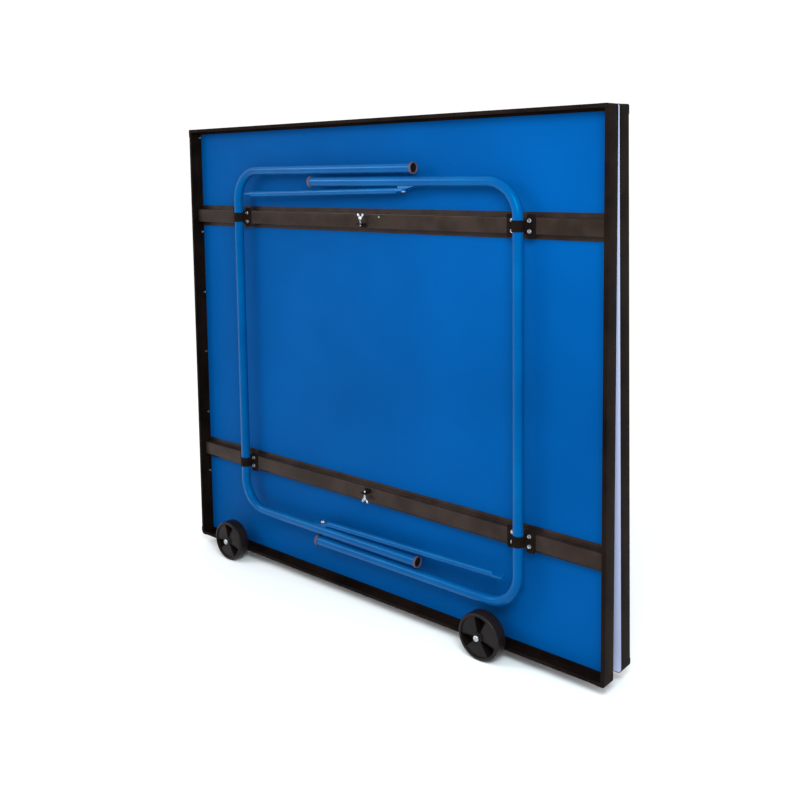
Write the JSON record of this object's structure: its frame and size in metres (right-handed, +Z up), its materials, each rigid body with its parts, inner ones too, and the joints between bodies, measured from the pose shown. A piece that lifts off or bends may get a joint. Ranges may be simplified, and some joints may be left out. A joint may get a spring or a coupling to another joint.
{
  "type": "folding table tennis table",
  "caption": "Folding table tennis table in storage: half tables on wheels, playing faces together, with blue U-shaped tube legs folded in black frames.",
  "frame": {"origin": "middle of the footprint, on the floor under the wheels", "axes": "+X along the long edge of the half tables, +Y from half A's underside towards half B, +Z up"},
  "size_m": [1.525, 0.24, 1.3993],
  "materials": {
    "board_blue_laminate": "satin melamine laminate, blue on both faces",
    "blue_powder_coat": "blue powder coat on steel tube, semi-gloss",
    "black_powder_coat": "fine-textured black powder coat on folded steel sheet",
    "black_polyethylene": "moulded black plastic foot caps",
    "black_wheel_plastic": "moulded black plastic wheels",
    "bright_zinc": "bright zinc-plated fasteners"
  },
  "bodies": {
    "half_a": {"half_a_board": "board_blue_laminate", "half_a_apron_bottom": "black_powder_coat", "half_a_apron_top": "black_powder_coat", "half_a_apron_left": "black_powder_coat", "half_a_apron_right": "black_powder_coat", "half_a_rail_lower": "black_powder_coat", "half_a_rail_upper": "black_powder_coat", "half_a_saddle_left_lower": "black_powder_coat", "half_a_saddle_left_upper": "black_powder_coat", "half_a_saddle_right_lower": "black_powder_coat", "half_a_saddle_right_upper": "black_powder_coat", "half_a_left_brace_tab": "black_powder_coat", "half_a_wheel_mount_left": "black_powder_coat", "half_a_right_brace_tab": "black_powder_coat", "half_a_wheel_mount_right": "black_powder_coat"},
    "half_b": {"half_b_board": "board_blue_laminate", "half_b_apron_bottom": "black_powder_coat", "half_b_apron_top": "black_powder_coat", "half_b_apron_left": "black_powder_coat", "half_b_apron_right": "black_powder_coat", "half_b_rail_lower": "black_powder_coat", "half_b_rail_upper": "black_powder_coat", "half_b_saddle_left_lower": "black_powder_coat", "half_b_saddle_left_upper": "black_powder_coat", "half_b_saddle_right_lower": "black_powder_coat", "half_b_saddle_right_upper": "black_powder_coat", "half_b_left_brace_tab": "black_powder_coat", "half_b_wheel_mount_left": "black_powder_coat", "half_b_right_brace_tab": "black_powder_coat", "half_b_wheel_mount_right": "black_powder_coat"},
    "left_leg_a": {"half_a_left_leg": "blue_powder_coat", "half_a_left_foot_lower": "black_polyethylene", "half_a_left_foot_upper": "black_polyethylene", "half_a_left_pivot_bolt": "bright_zinc"},
    "left_brace_a": {"half_a_left_brace": "blue_powder_coat"},
    "left_wheel_a": {"half_a_wheel_left": "black_wheel_plastic"},
    "left_wing_bolt_a": {"half_a_left_wing_bolt": "bright_zinc"},
    "right_leg_a": {"half_a_right_leg": "blue_powder_coat", "half_a_right_foot_lower": "black_polyethylene", "half_a_right_foot_upper": "black_polyethylene", "half_a_right_pivot_bolt": "bright_zinc"},
    "right_brace_a": {"half_a_right_brace": "blue_powder_coat"},
    "right_wheel_a": {"half_a_wheel_right": "black_wheel_plastic"},
    "right_wing_bolt_a": {"half_a_right_wing_bolt": "bright_zinc"},
    "left_leg_b": {"half_b_left_leg": "blue_powder_coat", "half_b_left_foot_lower": "black_polyethylene", "half_b_left_foot_upper": "black_polyethylene", "half_b_left_pivot_bolt": "bright_zinc"},
    "left_brace_b": {"half_b_left_brace": "blue_powder_coat"},
    "left_wheel_b": {"half_b_wheel_left": "black_wheel_plastic"},
    "left_wing_bolt_b": {"half_b_left_wing_bolt": "bright_zinc"},
    "right_leg_b": {"half_b_right_leg": "blue_powder_coat", "half_b_right_foot_lower": "black_polyethylene", "half_b_right_foot_upper": "black_polyethylene", "half_b_right_pivot_bolt": "bright_zinc"},
    "right_brace_b": {"half_b_right_brace": "blue_powder_coat"},
    "right_wheel_b": {"half_b_wheel_right": "black_wheel_plastic"},
    "right_wing_bolt_b": {"half_b_right_wing_bolt": "bright_zinc"}
  },
  "joints": [
    {"name": "halves_apart", "type": "slide", "parent": "half_a", "child": "half_b", "axis": [0, 1, 0], "range_m": [0, 0.5]},
    {"name": "left_leg_a_fold", "type": "hinge", "parent": "half_a", "child": "left_leg_a", "pos_m": [-0.521, -0.05513, 0.72382], "axis": [0, -0.0128, -0.9999], "range_deg": [0, 90]},
    {"name": "left_brace_a_swing", "type": "hinge", "parent": "left_leg_a", "child": "left_brace_a", "pos_m": [-0.17058, -0.0617, 0.20936], "axis": [-0.0203, -0.2259, 0.9739], "range_deg": [0, 123.06]},
    {"name": "left_wheel_a_spin", "type": "hinge", "parent": "half_a", "child": "left_wheel_a", "pos_m": [-0.572, -0.08987, 0.06271], "axis": [0, -0.9999, 0.0128], "continuous": true},
    {"name": "left_wing_bolt_a_turn", "type": "hinge", "parent": "half_a", "child": "left_wing_bolt_a", "pos_m": [0, -0.05887, 0.33634], "axis": [0, -0.0128, -0.9999], "continuous": true},
    {"name": "right_leg_a_fold", "type": "hinge", "parent": "half_a", "child": "right_leg_a", "pos_m": [0.521, -0.05558, 0.68832], "axis": [0, 0.0128, 0.9999], "range_deg": [0, 90]},
    {"name": "right_brace_a_swing", "type": "hinge", "parent": "right_leg_a", "child": "right_brace_a", "pos_m": [0.16059, -0.04901, 1.20278], "axis": [0.0206, -0.1893, -0.9817], "range_deg": [0, 124.21]},
    {"name": "right_wheel_a_spin", "type": "hinge", "parent": "half_a", "child": "right_wheel_a", "pos_m": [0.427, -0.08987, 0.06271], "axis": [0, -0.9999, 0.0128], "continuous": true},
    {"name": "right_wing_bolt_a_turn", "type": "hinge", "parent": "half_a", "child": "right_wing_bolt_a", "pos_m": [0, -0.04899, 1.11027], "axis": [0, 0.0128, 0.9999], "continuous": true},
    {"name": "left_leg_b_fold", "type": "hinge", "parent": "half_b", "child": "left_leg_b", "pos_m": [0.521, 0.05513, 0.72382], "axis": [0, 0.0128, -0.9999], "range_deg": [0, 90]},
    {"name": "left_brace_b_swing", "type": "hinge", "parent": "left_leg_b", "child": "left_brace_b", "pos_m": [0.17058, 0.0617, 0.20936], "axis": [0.0203, 0.2259, 0.9739], "range_deg": [0, 123.06]},
    {"name": "left_wheel_b_spin", "type": "hinge", "parent": "half_b", "child": "left_wheel_b", "pos_m": [0.572, 0.08987, 0.06271], "axis": [0, 0.9999, 0.0128], "continuous": true},
    {"name": "left_wing_bolt_b_turn", "type": "hinge", "parent": "half_b", "child": "left_wing_bolt_b", "pos_m": [0, 0.05887, 0.33634], "axis": [0, 0.0128, -0.9999], "continuous": true},
    {"name": "right_leg_b_fold", "type": "hinge", "parent": "half_b", "child": "right_leg_b", "pos_m": [-0.521, 0.05558, 0.68832], "axis": [0, -0.0128, 0.9999], "range_deg": [0, 90]},
    {"name": "right_brace_b_swing", "type": "hinge", "parent": "right_leg_b", "child": "right_brace_b", "pos_m": [-0.16059, 0.04901, 1.20278], "axis": [-0.0206, 0.1893, -0.9817], "range_deg": [0, 124.21]},
    {"name": "right_wheel_b_spin", "type": "hinge", "parent": "half_b", "child": "right_wheel_b", "pos_m": [-0.427, 0.08987, 0.06271], "axis": [0, 0.9999, 0.0128], "continuous": true},
    {"name": "right_wing_bolt_b_turn", "type": "hinge", "parent": "half_b", "child": "right_wing_bolt_b", "pos_m": [0, 0.04899, 1.11027], "axis": [0, -0.0128, 0.9999], "continuous": true}
  ],
  "couplings": [
    {"joint": "left_brace_a_swing", "follows": "left_leg_a_fold", "ratio": 1.3672},
    {"joint": "right_brace_a_swing", "follows": "right_leg_a_fold", "ratio": 1.38},
    {"joint": "left_brace_b_swing", "follows": "left_leg_b_fold", "ratio": 1.3672},
    {"joint": "right_brace_b_swing", "follows": "right_leg_b_fold", "ratio": 1.38}
  ]
}
